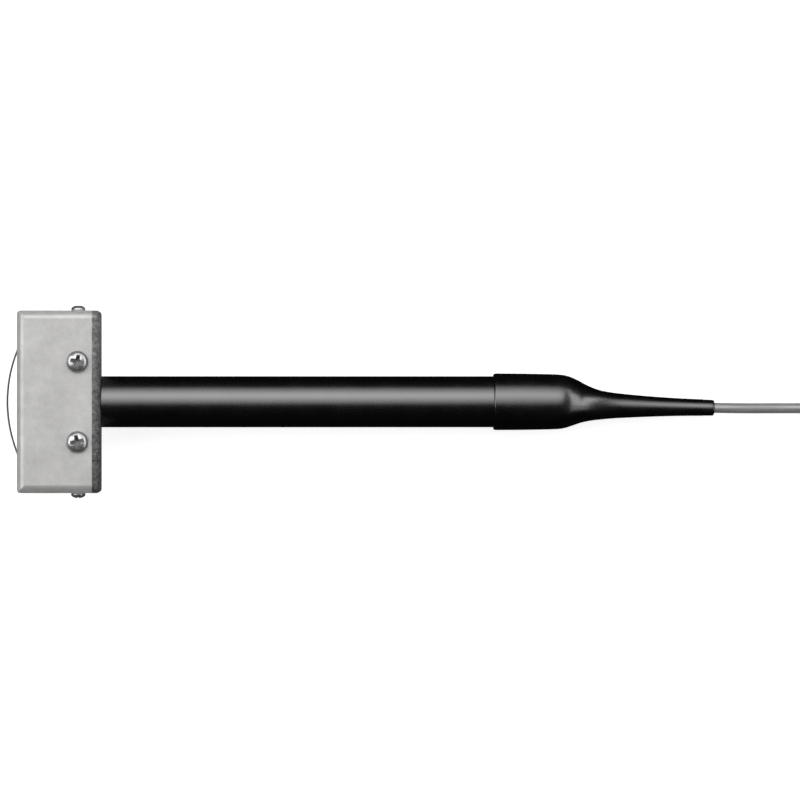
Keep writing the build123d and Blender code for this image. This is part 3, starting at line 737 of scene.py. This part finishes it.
FINISHES = {
    "head_cover": NICKEL,
    "head_base": CAST,
    "ribbon_left": RIBBON_LEFT,
    "ribbon_right": RIBBON_RIGHT,
    "ribbon_yoke": YOKE,
    "ribbon_clamp_left": SCREW,
    "ribbon_clamp_right": SCREW,
    "lead_left": WHITE,
    "lead_right": RED,
    "cable_bush": SHELL,
    "crimp_ferrule": FERRULE,
    "cable_inside": CABLE,
    "cable_in_plug": CABLE,
    "cable_tie": NYLON,
    "plug_lower": SHELL,
    "plug_cover": SHELL,
    "plug_grommet": RUBBER,
    "plug_pin_positive": PIN,
    "plug_pin_negative": PIN,
    "plug_core_positive": RED,
    "plug_core_negative": WHITE,
    "clamp_screw_left": SCREW,
    "clamp_screw_right": SCREW,
    "yoke_screw_left": SCREW,
    "yoke_screw_right": SCREW,
    "terminal_screw_positive": SCREW,
    "terminal_screw_negative": SCREW,
    "plug_screw_left": SCREW,
    "plug_screw_right": SCREW,
}


def dress_nodes():
    for name, material in FINISHES.items():
        node = NODES[name]
        node.data.materials.clear()
        node.data.materials.append(material)


# Floor and light

FLOOR_SIZE = 6.0
FLOOR_GLOW = 0.84  # keeps the floor white where the lights hardly reach


def make_floor():
    look = Look(
        "floor", Roughness=0.6, Base_Color=(0.6, 0.6, 0.6, 1),
        Emission_Color=(1, 1, 1, 1), Emission_Strength=FLOOR_GLOW,
    )
    mesh = bpy.data.meshes.new("floor")
    half = FLOOR_SIZE / 2
    corners = [(-half, -half, 0), (half, -half, 0), (half, half, 0), (-half, half, 0)]
    mesh.from_pydata(corners, [], [(0, 1, 2, 3)])
    mesh.materials.append(look.material)
    floor = bpy.data.objects.new("floor", mesh)
    floor.location.z = CAD_BOX[0].z
    floor.visible_glossy = False
    bpy.context.scene.collection.objects.link(floor)


def direction(towards_x, towards_y, distance=1.0):
    """A point at a distance from the object, leaning from straight above by two angles."""
    lean = Vector((tan(radians(towards_x)), tan(radians(towards_y)), 1)).normalized()
    return lean * distance


LIGHT_AIM = Vector((0.0, 0.0, 0.01))


def make_panel(name, place, size, radiance):
    """A soft rectangular light that faces the object."""
    data = bpy.data.lights.new(name, "AREA")
    data.shape = "RECTANGLE"
    data.size, data.size_y = size
    data.energy = radiance * pi * size[0] * size[1]
    panel = bpy.data.objects.new(name, data)
    panel.location = place
    panel.visible_camera = False
    panel.rotation_euler = (LIGHT_AIM - place).to_track_quat("-Z", "Y").to_euler()
    bpy.context.scene.collection.objects.link(panel)
    return panel


# Panels over one another, so that the light fades softly to its edges. A lean is two angles from
# straight above, along X and along Y, and a half angle is that of a panel seen from the object.
PANEL_STEP = 0.02  # each panel of a stack is this much further away
UPPER_LEAN = (0, 28)
UPPER_HALF_ANGLES = (10, 20, 30, 40)
UPPER_WIDTH = 0.9
UPPER_RADIANCE = 0.52
REAR_LEAN = (52.5, 14)
REAR_HALF_ANGLES = (22, 42)
REAR_DISTANCE = 1.6
REAR_WIDTH = 0.44
REAR_RADIANCE = 1.15
FRONT_LEAN = (-48, 12)
FRONT_SIZE = (0.9, 0.7)
FRONT_RADIANCE = 1.8
WORLD_STRENGTH = 0.006


def make_lights():
    for i, half_angle in enumerate(UPPER_HALF_ANGLES):
        height = 2 * tan(radians(half_angle))
        place = direction(*UPPER_LEAN, 1 + PANEL_STEP * i)
        make_panel("upper_panel_%d" % i, place, (UPPER_WIDTH, height), UPPER_RADIANCE)
    for i, half_angle in enumerate(REAR_HALF_ANGLES):
        height = 2 * REAR_DISTANCE * tan(radians(half_angle))
        place = direction(*REAR_LEAN, REAR_DISTANCE + PANEL_STEP * i)
        make_panel("rear_panel_%d" % i, place, (height, REAR_WIDTH), REAR_RADIANCE)
    make_panel("front_panel", direction(*FRONT_LEAN), FRONT_SIZE, FRONT_RADIANCE)
    world = bpy.data.worlds.new("world")
    world.use_nodes = True
    background = world.node_tree.nodes["Background"]
    background.inputs["Color"].default_value = (1, 1, 1, 1)
    background.inputs["Strength"].default_value = WORLD_STRENGTH
    bpy.context.scene.world = world
    bpy.context.scene.view_settings.view_transform = "Standard"


make_handle()
make_boot()
make_head_screws()
make_cable()
dress_nodes()
make_floor()
make_lights()

bpy.context.view_layer.update()
